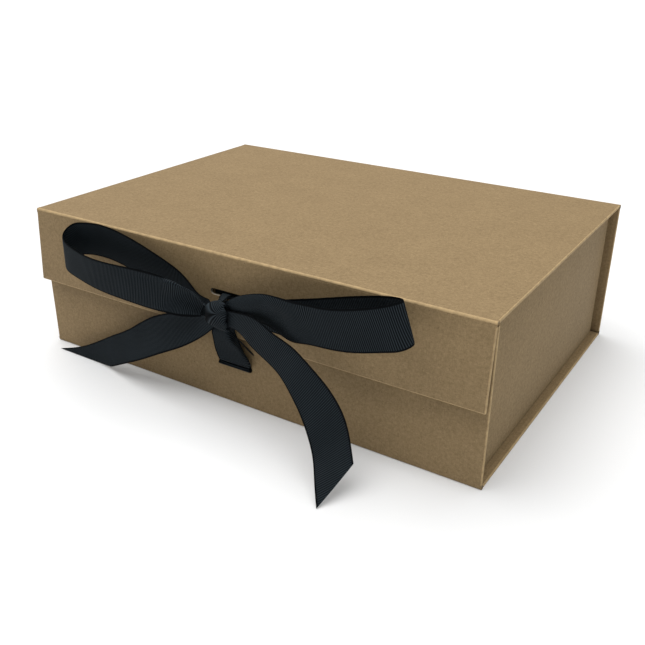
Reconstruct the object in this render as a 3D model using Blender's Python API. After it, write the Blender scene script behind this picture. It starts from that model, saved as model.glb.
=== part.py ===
"""Flat-pack magnetic gift box in kraft-wrapped greyboard, tied shut with a grosgrain bow.

Frame: metres, +Z up, the origin at the centre of the base's underside,
+X along the long side to the right, -Y towards the front.
Each panel is a greyboard core, an outer kraft wrap turned in over its edges, and a liner.
"""
import math

import bmesh
import bpy
from mathutils import Matrix, Vector

MM = 0.001

# Outside size of the closed box
WIDTH = 330.0 * MM
DEPTH = 232.0 * MM
HEIGHT = 101.0 * MM

# Sheet stock
BOARD = 1.5 * MM
WRAP = 0.2 * MM
LINER = 0.15 * MM
GLUE = 0.03 * MM
TURN_IN = 15.0 * MM
LINER_MARGIN = 3.0 * MM
CORE = WRAP + GLUE
PANEL = 2 * WRAP + 3 * GLUE + BOARD + LINER

# Folds: the wrap turns round FOLD_R, and the boards stop SETBACK short of the fold's centre
FOLD_R = 1.4 * MM
SETBACK = 1.5 * MM
FOLD_STEPS = 6
FOLD_SKIN = WRAP + LINER

# Closing flap and front wall
FLAP_DROP = 50.5 * MM
FLAP_LEAN = math.radians(3.8)
FRONT_STEP = 2.94 * MM
FRONT_TOP_GAP = 1.2 * MM

# Side walls, standing inside the ends of the base
SIDE_INSET = 5.7 * MM
SIDE_GAP = 0.3 * MM
SIDE_BACK_GAP = 2.7 * MM

# Ribbon slots
SLOT_LONG = 26.0 * MM
SLOT_TALL = 4.0 * MM
SLOT_STEPS = 8
FLAP_SLOT_Z = 76.4 * MM
FRONT_SLOT_Z = 27.8 * MM

# Magnets in the flap and their steel plates in the front wall
MAGNET_R = 5.0 * MM
MAGNET_T = 1.0 * MM
PLATE_R = 6.0 * MM
PLATE_T = 0.8 * MM
POCKET_CLEAR = 0.1 * MM
MAGNET_X = 112.0 * MM
MAGNET_UP = 13.0 * MM
DISC_STEPS = 24

# Corner tabs and their adhesive tape
TAB_T = 0.8 * MM
TAB_LONG = 18.0 * MM
TAB_SHORT = 12.0 * MM
TAB_END_GAP = 6.0 * MM
TAPE_T = 0.15 * MM
TAPE_INSET = 2.0 * MM
HINGE_LEG = 10.0 * MM
HINGE_T = 0.2 * MM

# Ribbon
RIBBON_W = 25.0 * MM
RIBBON_T = 0.4 * MM
RIBBON_STEPS = 3
RUN_CLEAR = 0.2 * MM
KNOT_SIZE = Vector((20.0, 11.0, 21.5)) * MM
KNOT_AT = Vector((-0.5, -131.0, 67.0)) * MM

# Planes that follow from the sizes above
FRONT_Y = -DEPTH / 2
BACK_Y = DEPTH / 2
WALL_Y = FRONT_Y + FRONT_STEP
SPINE_AXIS = (BACK_Y - FOLD_R, HEIGHT - FOLD_R)
FLAP_AXIS = (FRONT_Y + FOLD_R, HEIGHT - FOLD_R)
FRONT_WALL_TOP = HEIGHT - PANEL - FRONT_TOP_GAP
CUT = 1.0 * MM

# Ribbon edges as (first edge, second edge) stations, in millimetres
LEFT_LOOP = (
    ((-11, -124.5, 74.5), (-11, -124.5, 63)),
    ((-17.5, -123, 76.5), (-24, -121, 62)),
    ((-31.5, -122.5, 86), (-44.5, -119, 65.5)),
    ((-48, -123, 93), (-56, -119.5, 70.5)),
    ((-73.5, -123.5, 101), (-79, -120, 77.5)),
    ((-96.5, -124, 104.5), (-100, -120.5, 80.5)),
    ((-108, -125.5, 103.5), (-113.5, -121.5, 79.5)),
    ((-116.5, -128.5, 102), (-122.5, -124, 77)),
    ((-118, -135, 97), (-125, -130, 72.5)),
    ((-103.5, -141.5, 92.5), (-109.5, -136, 69.5)),
    ((-82, -144, 90.5), (-88, -139, 67.5)),
    ((-56, -142.5, 90.5), (-62.5, -140, 66)),
    ((-33.5, -139, 89), (-40, -138.5, 65)),
    ((-18, -136, 84.5), (-24, -136, 64)),
    ((-13, -134.5, 79), (-14.5, -134.3, 65.5)),
)
RIGHT_LOOP = (
    ((11.5, -132, 81), (12, -131.5, 76.5)),
    ((17.5, -134, 85), (19.5, -133, 77)),
    ((32, -137, 91.5), (34, -135, 78.5)),
    ((49, -140, 95), (51, -138.5, 74.5)),
    ((65.5, -142.5, 96.5), (65.5, -140, 72.5)),
    ((84, -144.5, 99), (83.5, -141, 74.5)),
    ((100, -145, 103), (101.5, -141.5, 77)),
    ((114, -143.5, 107), (117.5, -140, 81.5)),
    ((121.5, -140.5, 109.5), (127, -138, 84.5)),
    ((124, -136.5, 110), (130.5, -134, 87)),
    ((118, -131.5, 108.5), (122, -128, 84)),
    ((106.5, -128.5, 105.5), (109.5, -124, 78.5)),
    ((88.5, -126, 100), (96, -122, 76.5)),
    ((66.5, -124.5, 93), (74, -120.5, 69.5)),
    ((40.5, -123, 85.5), (47.5, -119, 62)),
    ((20.5, -122.5, 79), (19.5, -120.5, 63.5)),
    ((11.5, -124.3, 76), (11.5, -124.3, 64)),
)
LEFT_TAIL = (
    ((-12.5, -131, 65.5), (-6, -131, 55.5)),
    ((-22, -130, 64.3), (-12, -131.5, 50)),
    ((-36, -128, 60), (-22.5, -133, 43)),
    ((-57, -126, 50.5), (-41.5, -134, 33)),
    ((-78.5, -124.5, 36.5), (-62.5, -133, 21.5)),
    ((-98, -123.5, 25.5), (-86, -129, 9.5)),
    ((-117, -123, 15), (-101, -124.5, 2.5)),
    ((-133, -123, 7), (-108, -123.5, 1)),
    ((-151.5, -123, 1), (-111, -123, 1)),
)
RIGHT_TAIL = (
    ((11.5, -133.5, 73.5), (12, -132.5, 64.5)),
    ((20, -135.2, 76), (19.5, -135, 65)),
    ((35, -138.5, 78), (30.5, -138, 60.5)),
    ((49.5, -141.5, 74.5), (43.5, -141.5, 57)),
    ((63.5, -143, 71.5), (56.5, -146, 53.5)),
    ((76.5, -145, 65), (67.5, -149.5, 47)),
    ((89, -147, 56.5), (76.5, -153, 38.5)),
    ((97.5, -148, 46.5), (83, -156.5, 29.5)),
    ((102, -147, 34), (88, -160, 18.5)),
    ((98.5, -136, 8), (94, -167, 9)),
    ((97, -133, 0.9), (99.5, -176, 0.8)),
)
LOWER_LEG = (
    ((-6, -127, 55), (7, -127, 55.4)),
    ((-8, -124, 50.5), (7.5, -124, 50.5)),
    ((-10, -120, 40), (9.5, -119.5, 42)),
    ((-11.5, -115.2, 31.5), (12.5, -115.2, 32)),
    ((-12, -113.5, 28.3), (12, -113.5, 28.5)),
)
UPPER_LEG = (
    ((-9.5, -115, 76.4), (12, -115, 76.4)),
    ((-9.5, -118.2, 76.6), (12, -118.2, 76.6)),
    ((-6, -121.5, 79), (9.5, -121.5, 79)),
    ((-3, -127, 79.3), (8, -127, 79.3)),
)

# Colours
KRAFT = (0.36, 0.27, 0.15, 1.0)
KRAFT_INSIDE = (0.34, 0.26, 0.15, 1.0)
GREYBOARD = (0.25, 0.23, 0.20, 1.0)
RIBBON_BLACK = (0.010, 0.013, 0.015, 1.0)
NICKEL = (0.60, 0.60, 0.58, 1.0)
STEEL = (0.45, 0.45, 0.46, 1.0)
TAPE_WHITE = (0.75, 0.74, 0.70, 1.0)


def clear_scene():
    """Empty the scene of the objects it opens with."""
    for obj in list(bpy.data.objects):
        bpy.data.objects.remove(obj, do_unlink=True)


def material(name, colour, roughness=0.8, metallic=0.0):
    """A Principled material of one colour."""
    mat = bpy.data.materials.new(name)
    mat.use_nodes = True
    shader = mat.node_tree.nodes["Principled BSDF"]
    shader.inputs["Base Color"].default_value = colour
    shader.inputs["Roughness"].default_value = roughness
    shader.inputs["Metallic"].default_value = metallic
    mat.diffuse_color = colour
    return mat


def link(name, mesh, colour, roughness=0.85, metallic=0.0):
    """Put a mesh in the scene as a named part with its own material."""
    obj = bpy.data.objects.new(name, mesh)
    bpy.context.scene.collection.objects.link(obj)
    obj.data.materials.append(material(name + "_mat", colour, roughness, metallic))
    return obj


def finish_mesh(name, bm):
    """Turn a bmesh into a mesh whose faces look outwards."""
    bmesh.ops.recalc_face_normals(bm, faces=bm.faces)
    mesh = bpy.data.meshes.new(name)
    bm.to_mesh(mesh)
    bm.free()
    return mesh


def box_mesh(name, low, high):
    """A closed box between two corners."""
    low = Vector(low)
    high = Vector(high)
    bm = bmesh.new()
    bmesh.ops.create_cube(bm, size=1.0)
    size = high - low
    bmesh.ops.scale(bm, vec=size, verts=bm.verts)
    bmesh.ops.translate(bm, vec=(low + high) / 2, verts=bm.verts)
    return finish_mesh(name, bm)


def extruded_mesh(name, outline, length):
    """Extrude a closed outline of (x, y) points along +Z."""
    bm = bmesh.new()
    ring = [bm.verts.new((x, y, 0.0)) for x, y in outline]
    face = bm.faces.new(ring)
    grown = bmesh.ops.extrude_face_region(bm, geom=[face])
    moved = [item for item in grown["geom"] if isinstance(item, bmesh.types.BMVert)]
    bmesh.ops.translate(bm, vec=(0.0, 0.0, length), verts=moved)
    return finish_mesh(name, bm)


def cutter(name, mesh, frame):
    """A hidden solid that a boolean takes away."""
    obj = bpy.data.objects.new(name, mesh)
    bpy.context.scene.collection.objects.link(obj)
    obj.hide_render = True
    obj.display_type = "WIRE"
    obj.matrix_world = frame
    return obj


def cut_away(obj, tool):
    """Take one cutter away from a part and leave a plain mesh."""
    bpy.context.view_layer.update()
    mod = obj.modifiers.new("cut_" + tool.name, "BOOLEAN")
    mod.operation = "DIFFERENCE"
    mod.solver = "EXACT"
    mod.object = tool
    graph = bpy.context.evaluated_depsgraph_get()
    solid = bpy.data.meshes.new_from_object(obj.evaluated_get(graph))
    obj.modifiers.clear()
    obj.data = solid


def drop(tools):
    """Remove cutters once they have been used."""
    for tool in tools:
        bpy.data.objects.remove(tool, do_unlink=True)


def panel_wrap(name, width, length, frame, free_edge):
    """The kraft skin: outer face, and turn-ins over the ends and the free edge if it has one."""
    inner = CORE + BOARD + GLUE
    half = width / 2
    obj = link(name, box_mesh(name, (-half, 0, -inner - WRAP), (half, length, 0)), KRAFT)
    obj.matrix_world = frame
    top = length - WRAP if free_edge else length + CUT
    window_top = length - TURN_IN if free_edge else length + CUT
    core = box_mesh("core", (-half + WRAP, -CUT, -inner), (half - WRAP, top, -WRAP))
    window = box_mesh("window", (-half + TURN_IN, -CUT, -inner - CUT),
                      (half - TURN_IN, window_top, -inner / 2))
    tools = [cutter(name + "_core", core, frame), cutter(name + "_window", window, frame)]
    for tool in tools:
        cut_away(obj, tool)
    drop(tools)
    return obj


def panel(prefix, width, length, frame, free_edge=False):
    """Board, wrap and liner of one panel; local +Y runs from the fold, local +Z looks out."""
    half = width / 2
    edge = CORE if free_edge else 0.0
    board = box_mesh(prefix, (-half + CORE, 0, -CORE - BOARD), (half - CORE, length - edge, -CORE))
    liner_z = -CORE - BOARD - 2 * GLUE - WRAP
    margin = LINER_MARGIN if free_edge else 0.0
    liner = box_mesh(prefix, (-half + LINER_MARGIN, 0, liner_z - LINER),
                     (half - LINER_MARGIN, length - margin, liner_z))
    parts = {
        "board": link(prefix + "_board", board, GREYBOARD),
        "wrap": panel_wrap(prefix + "_wrap", width, length, frame, free_edge),
        "liner": link(prefix + "_liner", liner, KRAFT_INSIDE),
    }
    for part in parts.values():
        part.matrix_world = frame
    return parts


def frame_from(origin, along, out):
    """A panel's placement: local Y along the panel, local Z out of it."""
    along = Vector(along).normalized()
    out = Vector(out).normalized()
    side = along.cross(out)
    turn = Matrix((side, along, out)).transposed().to_4x4()
    return Matrix.Translation(Vector(origin)) @ turn


def slot_outline():
    """The stadium outline of a ribbon slot."""
    radius = SLOT_TALL / 2
    reach = SLOT_LONG / 2 - radius
    points = []
    for side in (1, -1):
        for step in range(SLOT_STEPS + 1):
            angle = math.pi * (step / SLOT_STEPS - 0.5)
            x = side * (reach + radius * math.cos(angle))
            points.append((x, side * radius * math.sin(angle)))
    return points


def cut_slot(parts, frame, along_panel):
    """Cut a ribbon slot through all three layers of a panel."""
    mesh = extruded_mesh("slot", slot_outline(), 2 * PANEL + 2 * CUT)
    place = frame @ Matrix.Translation((0, along_panel, -PANEL * 1.5 - CUT))
    tool = cutter("slot_tool", mesh, place)
    for part in parts.values():
        cut_away(part, tool)
    drop([tool])


def disc_mesh(name, radius, thick):
    """A flat disc standing on its local Z."""
    bm = bmesh.new()
    bmesh.ops.create_cone(bm, cap_ends=True, segments=DISC_STEPS,
                          radius1=radius, radius2=radius, depth=thick)
    return finish_mesh(name, bm)


def bed_discs(parts, frame, along_panel, names, radius, thick, colour):
    """Set a pair of metal discs in pockets on the inner side of a board."""
    inner = -CORE - BOARD
    discs = []
    for sign, name in zip((-1, 1), names):
        at = frame @ Matrix.Translation((sign * MAGNET_X, along_panel, inner + thick / 2))
        pocket = disc_mesh("pocket", radius + POCKET_CLEAR, thick + 2 * POCKET_CLEAR)
        tool = cutter("pocket_tool", pocket, at)
        cut_away(parts["board"], tool)
        drop([tool])
        disc = link(name, disc_mesh(name, radius, thick), colour, 0.3, 1.0)
        disc.data.shade_smooth()
        disc.data.set_sharp_from_angle(angle=math.radians(40))
        disc.matrix_world = at
        discs.append(disc)
    return discs


def fold_strip(name, centre, start, length, sweep=math.pi / 2):
    """The paper of one fold: flat, round and flat again, along X."""
    reach = SETBACK
    outer = []
    inner = []
    for radius, chain in ((FOLD_R, outer), (FOLD_R - FOLD_SKIN, inner)):
        for step in range(FOLD_STEPS + 1):
            angle = start + sweep * step / FOLD_STEPS
            chain.append(Vector((radius * math.cos(angle), radius * math.sin(angle))))
    first = Vector((math.sin(start), -math.cos(start))) * reach
    last_angle = start + sweep
    last = Vector((-math.sin(last_angle), math.cos(last_angle))) * reach
    for chain in (outer, inner):
        chain.insert(0, chain[0] + first)
        chain.append(chain[-1] + last)
    ring = outer + inner[::-1]
    points = [(centre[0] + p.x, centre[1] + p.y) for p in ring]
    obj = link(name, extruded_mesh(name, points, length), KRAFT)
    turn = Matrix(((0, 0, 1, -length / 2), (1, 0, 0, 0), (0, 1, 0, 0), (0, 0, 0, 1)))
    obj.matrix_world = turn
    return obj


def build_base():
    """The base, with its underside on the floor plane."""
    start = WALL_Y + FOLD_R + SETBACK
    end = SPINE_AXIS[0] - SETBACK
    frame = frame_from((0, start, 0), (0, 1, 0), (0, 0, -1))
    return panel("base", WIDTH, end - start, frame)


def build_front():
    """The low front wall, with its ribbon slot and steel plates."""
    start = FOLD_R + SETBACK
    frame = frame_from((0, WALL_Y, start), (0, 0, 1), (0, -1, 0))
    parts = panel("front", WIDTH, FRONT_WALL_TOP - start, frame, True)
    cut_slot(parts, frame, FRONT_SLOT_Z - start)
    height = HEIGHT - FLAP_DROP + MAGNET_UP - start
    names = ("front_plate_left", "front_plate_right")
    bed_discs(parts, frame, height, names, PLATE_R, PLATE_T, STEEL)
    return parts


def build_spine():
    """The back wall that carries the lid's fold."""
    start = FOLD_R + SETBACK
    end = SPINE_AXIS[1] - SETBACK
    frame = frame_from((0, BACK_Y, start), (0, 0, 1), (0, 1, 0))
    return panel("spine", WIDTH, end - start, frame)


def build_lid():
    """The lid, lying closed."""
    start = SPINE_AXIS[0] - SETBACK
    end = FLAP_AXIS[0] + SETBACK
    frame = frame_from((0, start, HEIGHT), (0, -1, 0), (0, 0, 1))
    return panel("lid", WIDTH, start - end, frame)


def flap_frame():
    """The closing flap's placement: it hangs from its fold and leans a little forward."""
    axis = Matrix.Translation((0, FLAP_AXIS[0], FLAP_AXIS[1]))
    lean = Matrix.Rotation(-FLAP_LEAN, 4, "X")
    hang = frame_from((0, -FOLD_R, -SETBACK), (0, 0, -1), (0, -1, 0))
    return axis @ lean @ hang


def build_flap():
    """The closing flap with its slot and magnets."""
    frame = flap_frame()
    length = FLAP_DROP - FOLD_R - SETBACK
    parts = panel("flap", WIDTH, length, frame, True)
    drop_to_slot = (FLAP_AXIS[1] - FLAP_SLOT_Z) / math.cos(FLAP_LEAN) - SETBACK
    cut_slot(parts, frame, drop_to_slot)
    names = ("flap_magnet_left", "flap_magnet_right")
    discs = bed_discs(parts, frame, length - MAGNET_UP, names, MAGNET_R, MAGNET_T, NICKEL)
    return list(parts.values()) + discs


def build_side(prefix, sign):
    """One side wall, standing on the base inside its end."""
    front = WALL_Y + PANEL + SIDE_GAP
    back = BACK_Y - PANEL - SIDE_BACK_GAP
    low = PANEL + SIDE_GAP
    high = HEIGHT - PANEL - SIDE_GAP
    x = sign * (WIDTH / 2 - SIDE_INSET)
    frame = frame_from((x, (front + back) / 2, low), (0, 0, 1), (sign, 0, 0))
    return panel(prefix, back - front, high - low, frame, True)


def corner_tab(name, sign, face_y, towards, reach_back):
    """A folded card tab: one leg along the side wall, one stuck to the wall at face_y."""
    wall_x = WIDTH / 2 - SIDE_INSET - PANEL - GLUE
    near = TAPE_T + 2 * GLUE
    short = TAB_SHORT + reach_back
    outline = [
        (wall_x, near), (wall_x - TAB_LONG, near), (wall_x - TAB_LONG, near + TAB_T),
        (wall_x - TAB_T, near + TAB_T), (wall_x - TAB_T, near + short), (wall_x, near + short),
    ]
    low = PANEL + TAB_END_GAP
    tall = HEIGHT - 2 * PANEL - 2 * TAB_END_GAP
    points = [(sign * x, face_y + towards * y) for x, y in outline]
    obj = link(name, extruded_mesh(name, points, tall), KRAFT_INSIDE)
    obj.matrix_world = Matrix.Translation((0, 0, low))
    return obj


def tab_tape(name, sign, face_y, towards):
    """The strip of double-sided tape behind a corner tab."""
    wall_x = WIDTH / 2 - SIDE_INSET - PANEL - GLUE
    xs = (sign * (wall_x - TAB_LONG + TAPE_INSET), sign * (wall_x - TAPE_INSET))
    ys = (face_y + towards * GLUE, face_y + towards * (GLUE + TAPE_T))
    low = PANEL + TAB_END_GAP + TAPE_INSET
    high = HEIGHT - PANEL - TAB_END_GAP - TAPE_INSET
    mesh = box_mesh(name, (min(xs), min(ys), low), (max(xs), max(ys), high))
    return link(name, mesh, TAPE_WHITE)


def side_hinge(name, sign):
    """The glued paper strip that hinges a side wall to the base."""
    wall_x = WIDTH / 2 - SIDE_INSET - PANEL - GLUE
    floor_z = PANEL + GLUE
    outline = [
        (wall_x, floor_z), (wall_x - HINGE_LEG, floor_z),
        (wall_x - HINGE_LEG, floor_z + HINGE_T), (wall_x - HINGE_T, floor_z + HINGE_T),
        (wall_x - HINGE_T, floor_z + HINGE_LEG), (wall_x, floor_z + HINGE_LEG),
    ]
    inner_front = WALL_Y + PANEL + TAB_LONG
    inner_back = BACK_Y - PANEL - TAB_LONG
    points = [(sign * x, z) for x, z in outline]
    obj = link(name, extruded_mesh(name, points, inner_back - inner_front), KRAFT_INSIDE)
    turn = Matrix(((1, 0, 0, 0), (0, 0, -1, inner_back), (0, 1, 0, 0), (0, 0, 0, 1)))
    obj.matrix_world = turn
    return obj


def smooth_stations(stations):
    """Round the run between edge stations with a Catmull-Rom spline."""
    edges = [[Vector(pair[side]) * MM for pair in stations] for side in (0, 1)]
    out = []
    for chain in edges:
        padded = [2 * chain[0] - chain[1]] + chain + [2 * chain[-1] - chain[-2]]
        fine = []
        for i in range(1, len(padded) - 2):
            for step in range(RIBBON_STEPS):
                fine.append(spline_point(padded[i - 1:i + 3], step / RIBBON_STEPS))
        fine.append(chain[-1])
        out.append(fine)
    return list(zip(out[0], out[1]))


def spline_point(four, t):
    """A point between the middle two of four points."""
    a, b, c, d = four
    return 0.5 * (2 * b + (c - a) * t + (2 * a - 5 * b + 4 * c - d) * t * t
                  + (3 * b - a - 3 * c + d) * t * t * t)


def ribbon(name, stations, fine=True):
    """A length of ribbon swept along its two edges."""
    pairs = smooth_stations(stations) if fine else [tuple(Vector(p) for p in s) for s in stations]
    bm = bmesh.new()
    rings = []
    for i, (first, second) in enumerate(pairs):
        before = pairs[max(i - 1, 0)]
        after = pairs[min(i + 1, len(pairs) - 1)]
        along = (after[0] + after[1] - before[0] - before[1]).normalized()
        face = along.cross(second - first).normalized() * (RIBBON_T / 2)
        corners = (first + face, second + face, second - face, first - face)
        rings.append([bm.verts.new(corner) for corner in corners])
    for near, far in zip(rings, rings[1:]):
        # both faces split from the first edge to the second, so a twist keeps them apart
        for a, b in ((0, 1), (3, 2)):
            bm.faces.new((near[a], near[b], far[b]))
            bm.faces.new((near[a], far[b], far[a]))
        for a, b in ((1, 2), (3, 0)):
            bm.faces.new((near[a], near[b], far[b], far[a]))
    bm.faces.new(rings[0])
    bm.faces.new(rings[-1])
    obj = link(name, finish_mesh(name, bm), RIBBON_BLACK, 0.6)
    obj.data.shade_smooth()
    obj.data.set_sharp_from_angle(angle=math.radians(50))
    return obj


def ribbon_run():
    """The hidden length of ribbon: in at the front slot, up the wall and over its top."""
    half = RIBBON_W / 2
    gap = RIBBON_T / 2 + RUN_CLEAR
    inside = WALL_Y + PANEL + gap
    outside = WALL_Y - gap
    top = FRONT_WALL_TOP + gap
    path = [
        (WALL_Y + RUN_CLEAR, FRONT_SLOT_Z), (inside - gap, FRONT_SLOT_Z),
        (inside, FRONT_SLOT_Z + 2 * gap), (inside, top - gap),
        (inside - gap, top), (outside + gap, top),
        (outside, top - gap), (outside, FLAP_SLOT_Z),
    ]
    stations = [(Vector((-half, y, z)), Vector((half, y, z))) for y, z in path]
    return ribbon("ribbon_run", stations, False)


def ribbon_knot():
    """The knot of the bow."""
    bm = bmesh.new()
    bmesh.ops.create_uvsphere(bm, u_segments=20, v_segments=12, radius=0.5)
    bmesh.ops.scale(bm, vec=KNOT_SIZE, verts=bm.verts)
    bmesh.ops.translate(bm, vec=KNOT_AT, verts=bm.verts)
    knot = link("ribbon_knot", finish_mesh("ribbon_knot", bm), RIBBON_BLACK, 0.6)
    knot.data.shade_smooth()
    return knot


def build_folds():
    """The four paper folds of the case."""
    fold_strip("front_fold", (WALL_Y + FOLD_R, FOLD_R), math.pi, WIDTH)
    fold_strip("back_fold", (BACK_Y - FOLD_R, FOLD_R), -math.pi / 2, WIDTH)
    fold_strip("lid_fold", SPINE_AXIS, 0.0, WIDTH)
    fold_strip("flap_fold", FLAP_AXIS, math.pi / 2, WIDTH, math.pi / 2 - FLAP_LEAN)


def build_corners():
    """Tabs, tape and hinges that hold the side walls up."""
    inner_front = WALL_Y + PANEL
    inner_back = BACK_Y - PANEL
    for side, sign in (("left", -1), ("right", 1)):
        corner_tab("tab_front_" + side, sign, inner_front, 1, 0.0)
        corner_tab("tab_back_" + side, sign, inner_back, -1, SIDE_BACK_GAP)
        tab_tape("tape_front_" + side, sign, inner_front, 1)
        tab_tape("tape_back_" + side, sign, inner_back, -1)
        side_hinge("hinge_" + side, sign)


def build_bow():
    """The bow and its two legs, which the flap carries."""
    return [
        ribbon("ribbon_lower_leg", LOWER_LEG),
        ribbon("ribbon_upper_leg", UPPER_LEG),
        ribbon_knot(),
        ribbon("ribbon_loop_left", LEFT_LOOP),
        ribbon("ribbon_loop_right", RIGHT_LOOP),
        ribbon("ribbon_tail_left", LEFT_TAIL),
        ribbon("ribbon_tail_right", RIGHT_TAIL),
    ]


def hinge_empty(name, centre, children):
    """An empty on a hinge's axis that carries the pieces that turn about it."""
    empty = bpy.data.objects.new(name, None)
    bpy.context.scene.collection.objects.link(empty)
    empty.location = (0, centre[0], centre[1])
    bpy.context.view_layer.update()
    for child in children:
        place = child.matrix_world.copy()
        child.parent = empty
        child.matrix_parent_inverse = empty.matrix_world.inverted()
        child.matrix_world = place
    return empty


def main():
    """Build the whole box."""
    clear_scene()
    build_base()
    build_front()
    build_spine()
    build_side("left_side", -1)
    build_side("right_side", 1)
    build_corners()
    build_folds()
    ribbon_run()
    lid = build_lid()
    flap = build_flap()
    flap_axis = hinge_empty("flap_axis", FLAP_AXIS, flap + build_bow())
    hinge_empty("lid_axis", SPINE_AXIS, list(lid.values()) + [flap_axis])


main()
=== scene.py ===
"""Looks for the flat-pack magnetic gift box: kraft paper over greyboard, and a black grosgrain bow."""

import math

import bmesh
import bpy
import numpy as np
from mathutils import Matrix, Vector


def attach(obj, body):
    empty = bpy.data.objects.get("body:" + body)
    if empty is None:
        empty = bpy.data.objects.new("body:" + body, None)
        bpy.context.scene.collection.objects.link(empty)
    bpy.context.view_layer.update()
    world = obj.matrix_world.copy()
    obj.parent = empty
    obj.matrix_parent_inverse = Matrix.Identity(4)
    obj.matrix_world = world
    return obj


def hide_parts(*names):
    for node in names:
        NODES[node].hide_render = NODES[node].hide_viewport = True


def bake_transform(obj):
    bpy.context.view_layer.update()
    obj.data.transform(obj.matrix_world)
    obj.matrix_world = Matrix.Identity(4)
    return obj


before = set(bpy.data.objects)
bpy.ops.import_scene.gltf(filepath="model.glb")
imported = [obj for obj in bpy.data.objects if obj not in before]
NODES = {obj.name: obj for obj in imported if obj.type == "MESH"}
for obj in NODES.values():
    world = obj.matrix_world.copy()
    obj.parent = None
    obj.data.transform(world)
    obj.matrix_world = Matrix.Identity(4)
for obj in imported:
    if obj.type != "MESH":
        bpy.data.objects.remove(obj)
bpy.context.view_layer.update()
MM = 0.001

# Case sizes, as in the part
WIDTH, DEPTH, HEIGHT = 330.0, 232.0, 101.0
BOARD, WRAP, LINER, GLUE = 1.5, 0.2, 0.15, 0.03
CORE = WRAP + GLUE
PANEL = 2 * WRAP + 3 * GLUE + BOARD + LINER
TURN_IN = 15.0
FOLD_R, SETBACK = 1.4, 1.5
FLAP_DROP, FLAP_LEAN = 50.5, math.radians(3.8)
WALL_Y = -DEPTH / 2 + 2.94
WALL_TOP = HEIGHT - PANEL - 1.2
SPINE_AXIS = (DEPTH / 2 - FOLD_R, HEIGHT - FOLD_R)
FLAP_AXIS = (-DEPTH / 2 + FOLD_R, HEIGHT - FOLD_R)
SIDE_INSET, SIDE_GAP, SIDE_BACK_GAP = 5.7, 0.3, 2.7
SLOT_LONG, SLOT_TALL = 26.0, 4.0
FLAP_SLOT_Z, FRONT_SLOT_Z = 76.4, 27.8
EDGE_R = 0.62
# width of the edge band coloured lighter: painted highlight with some rubbed wear
RUB_AND_HIGHLIGHT_BAND = 0.9 * EDGE_R
BEVEL_STEPS, SLOT_STEPS = 3, 12

# Grosgrain ribbon
RIBBON_W = 25.0
RIB_PITCH = 1.13
RIB_HIGH = 0.19
RIBBON_HALF = 0.14
SELVEDGE = 0.95
RIB_END = 0.25
THINNEST = 0.015
FLOOR_CLEAR = 0.00008

# Paper folds: the pressed creases at each side of a turn, and how finely the strip is cut
CREASE_DEEP, CREASE_WIDE, CREASE_OFF = 0.16, 0.22, 0.25
FOLD_STEPS, FOLD_STRAIGHT, FOLD_COLUMNS = 28, 10, 221

# Floor and camera, in metres, and the lens in millimetres
FLOOR_RADIUS = 60.0
LENS, SENSOR, CLIP_END = 44.855, 36.0, 300.0
CAMERA_AT = (0.28104, -0.45524, 0.26486)
CAMERA_RIGHT = (0.842268, 0.539013, 0.007078)
CAMERA_UP = (-0.235573, 0.356235, 0.904214)


# ---------------------------------------------------------------- node materials
class Nodes:
    """A short way to write a material's node tree."""

    def __init__(self, name):
        self.material = bpy.data.materials.new(name)
        self.material.use_nodes = True
        self.tree = self.material.node_tree
        self.shader = self.tree.nodes["Principled BSDF"]
        self.place = self.add("ShaderNodeTexCoord").outputs["Object"]

    def add(self, kind, **values):
        node = self.tree.nodes.new(kind)
        for key, value in values.items():
            setattr(node, key, value)
        return node

    def link(self, source, target):
        self.tree.links.new(source, target)

    def scaled(self, factors, turn=(0, 0, 0)):
        node = self.add("ShaderNodeMapping")
        node.inputs["Scale"].default_value = factors
        node.inputs["Rotation"].default_value = turn
        self.link(self.place, node.inputs["Vector"])
        return node.outputs["Vector"]

    def noise(self, where, scale, detail=3.0, rough=0.5, warp=0.0):
        node = self.add("ShaderNodeTexNoise")
        node.inputs["Scale"].default_value = scale
        node.inputs["Detail"].default_value = detail
        node.inputs["Roughness"].default_value = rough
        node.inputs["Distortion"].default_value = warp
        self.link(where, node.inputs["Vector"])
        return node.outputs["Fac"]

    def ramp(self, fac, low, high, to_low=0.0, to_high=1.0):
        node = self.add("ShaderNodeMapRange")
        node.inputs["From Min"].default_value = low
        node.inputs["From Max"].default_value = high
        node.inputs["To Min"].default_value = to_low
        node.inputs["To Max"].default_value = to_high
        self.link(fac, node.inputs["Value"])
        return node.outputs["Result"]

    def math(self, operation, a, b):
        node = self.add("ShaderNodeMath", operation=operation)
        for socket, value in zip(node.inputs, (a, b)):
            if isinstance(value, (int, float)):
                socket.default_value = value
            else:
                self.link(value, socket)
        return node.outputs[0]

    def mix(self, fac, a, b, blend="MIX"):
        node = self.add("ShaderNodeMix", data_type="RGBA", blend_type=blend)
        for index, value in ((0, fac), (6, a), (7, b)):
            if isinstance(value, (int, float, tuple)):
                node.inputs[index].default_value = value
            else:
                self.link(value, node.inputs[index])
        return node.outputs[2]

    def colour(self, value):
        if isinstance(value, tuple):
            self.shader.inputs["Base Color"].default_value = value
        else:
            self.link(value, self.shader.inputs["Base Color"])

    def bump(self, height, distance, strength=1.0):
        node = self.add("ShaderNodeBump")
        node.inputs["Distance"].default_value = distance
        node.inputs["Strength"].default_value = strength
        self.link(height, node.inputs["Height"])
        self.link(node.outputs["Normal"], self.shader.inputs["Normal"])


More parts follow.
